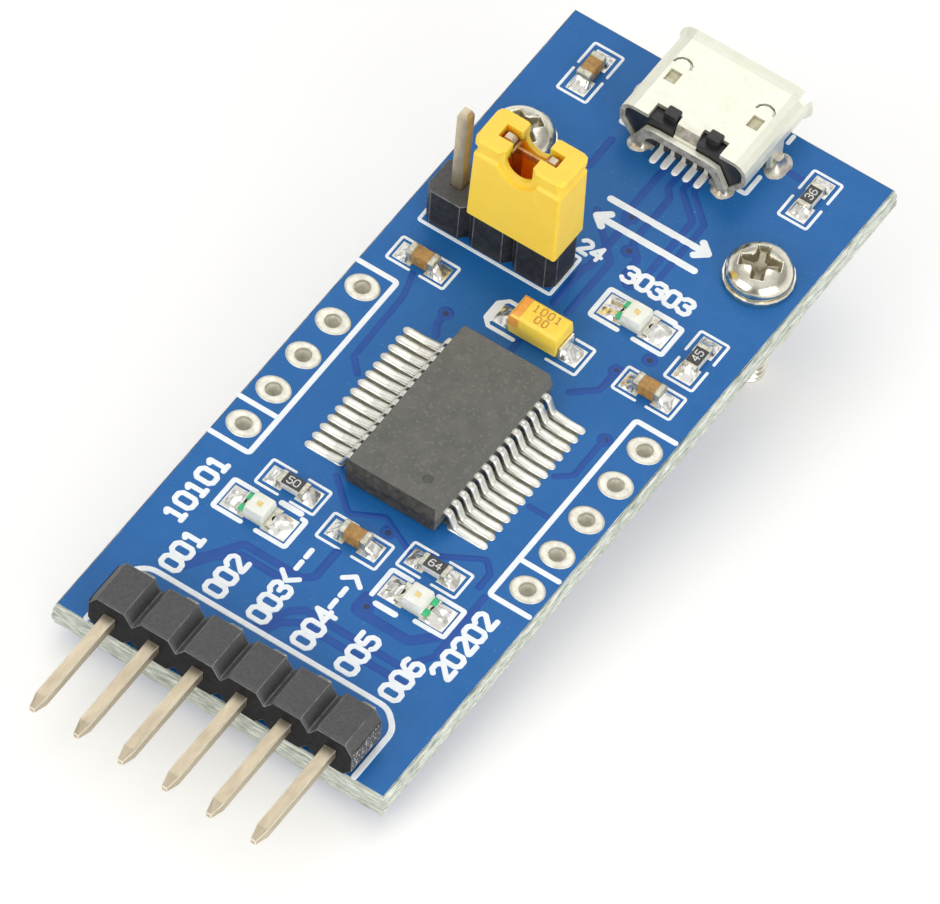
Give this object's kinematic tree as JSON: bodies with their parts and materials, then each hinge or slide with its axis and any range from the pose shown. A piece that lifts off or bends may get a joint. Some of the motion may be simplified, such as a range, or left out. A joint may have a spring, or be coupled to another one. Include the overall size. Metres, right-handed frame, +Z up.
{
  "type": "usb to serial adapter module",
  "caption": "Narrow circuit board that links a USB socket to a serial pin header, with an interface chip, indicator lights and a pull-off voltage selector cap.",
  "frame": {"origin": "middle of the circuit board's underside", "axes": "+Y towards the USB socket, +Z up through the side that carries the parts, +X to the right"},
  "size_m": [0.019, 0.0517, 0.0161],
  "materials": {
    "board_blue": "satin",
    "black_plastic": "matte",
    "pin_gold": "satin",
    "cap_yellow": "satin",
    "spring_bronze": "satin",
    "plated_steel": "satin",
    "tin": "satin",
    "chip_resin": "matte",
    "tantalum_yellow": "matte",
    "ceramic_brown": "matte",
    "resistor_black": "satin",
    "led_board": "matte",
    "led_resin": "gloss",
    "nickel": "satin"
  },
  "bodies": {
    "module": {"circuit_board": "board_blue", "header_block": "black_plastic", "header_pin_1": "pin_gold", "header_pin_2": "pin_gold", "header_pin_3": "pin_gold", "header_pin_4": "pin_gold", "header_pin_5": "pin_gold", "header_pin_6": "pin_gold", "selector_block": "black_plastic", "selector_pin_1": "pin_gold", "selector_pin_2": "pin_gold", "selector_pin_3": "pin_gold", "usb_shell": "plated_steel", "usb_insulator": "black_plastic", "usb_contact_1": "tin", "usb_contact_2": "tin", "usb_contact_3": "tin", "usb_contact_4": "tin", "usb_contact_5": "tin", "interface_chip": "chip_resin", "tantalum_body": "tantalum_yellow", "tantalum_strap_left": "tin", "tantalum_strap_right": "tin", "capacitor_1": "ceramic_brown", "capacitor_2": "ceramic_brown", "capacitor_3": "ceramic_brown", "capacitor_4": "ceramic_brown", "resistor_1": "resistor_black", "resistor_2": "resistor_black", "resistor_3": "resistor_black", "resistor_4": "resistor_black", "led_base_1": "led_board", "led_lens_1": "led_resin", "led_base_2": "led_board", "led_lens_2": "led_resin", "led_base_3": "led_board", "led_lens_3": "led_resin", "screw_left": "nickel", "washer_left": "nickel", "nut_left": "nickel", "screw_right": "nickel", "washer_right": "nickel", "nut_right": "nickel"},
    "cap": {"jumper_cap": "cap_yellow", "jumper_contact": "spring_bronze"}
  },
  "joints": [
    {"name": "cap_pull_off", "type": "slide", "parent": "module", "child": "cap", "axis": [0, 0, 1], "range_m": [0, 0.0065]}
  ]
}
